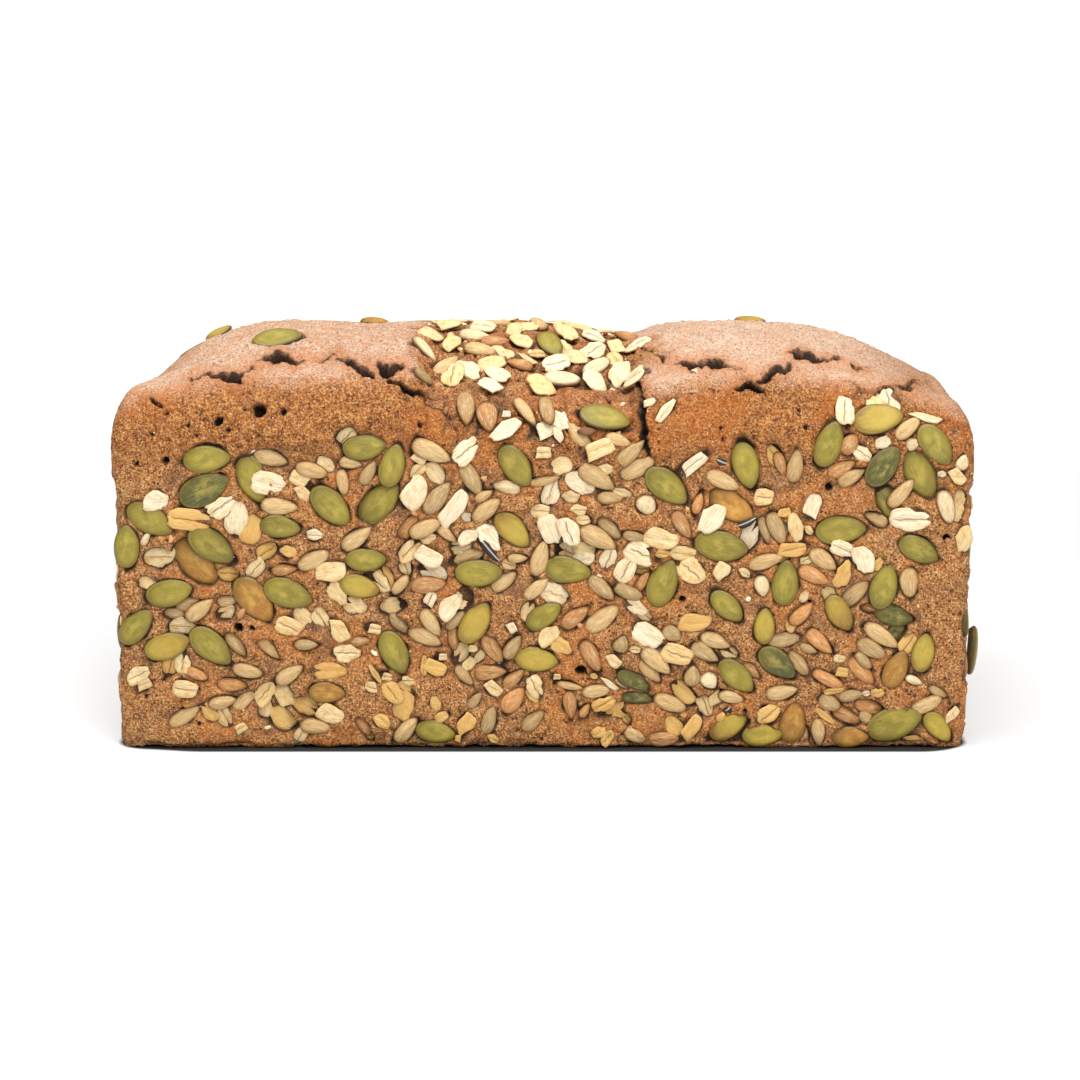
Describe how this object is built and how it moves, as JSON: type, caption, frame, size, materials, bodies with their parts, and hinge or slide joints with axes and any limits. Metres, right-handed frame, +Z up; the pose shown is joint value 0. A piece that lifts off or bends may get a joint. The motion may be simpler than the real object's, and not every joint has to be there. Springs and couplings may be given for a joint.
{
  "type": "rye bread loaf",
  "caption": "Uncut rye bread loaf baked in a rectangular tin: upright walls coated in pumpkin seeds, sunflower kernels and oat flakes, bare cracked crust on top, flat base.",
  "frame": {"origin": "middle of the flat base that the loaf rests on", "axes": "+X along the loaf's length, -Y towards the front wall, +Z up"},
  "size_m": [0.2556, 0.1101, 0.1214],
  "materials": {
    "crust": "matte baked rye crust, orange-tan, pored",
    "pumpkin_seed": "satin olive green, some toasted brown",
    "sunflower_kernel": "satin grey-tan, some toasted",
    "oat_flake": "matte cream to golden",
    "crumbs": "matte brown grain bits and dark hulls"
  },
  "bodies": {
    "root": {"loaf": "crust"}
  },
  "joints": []
}
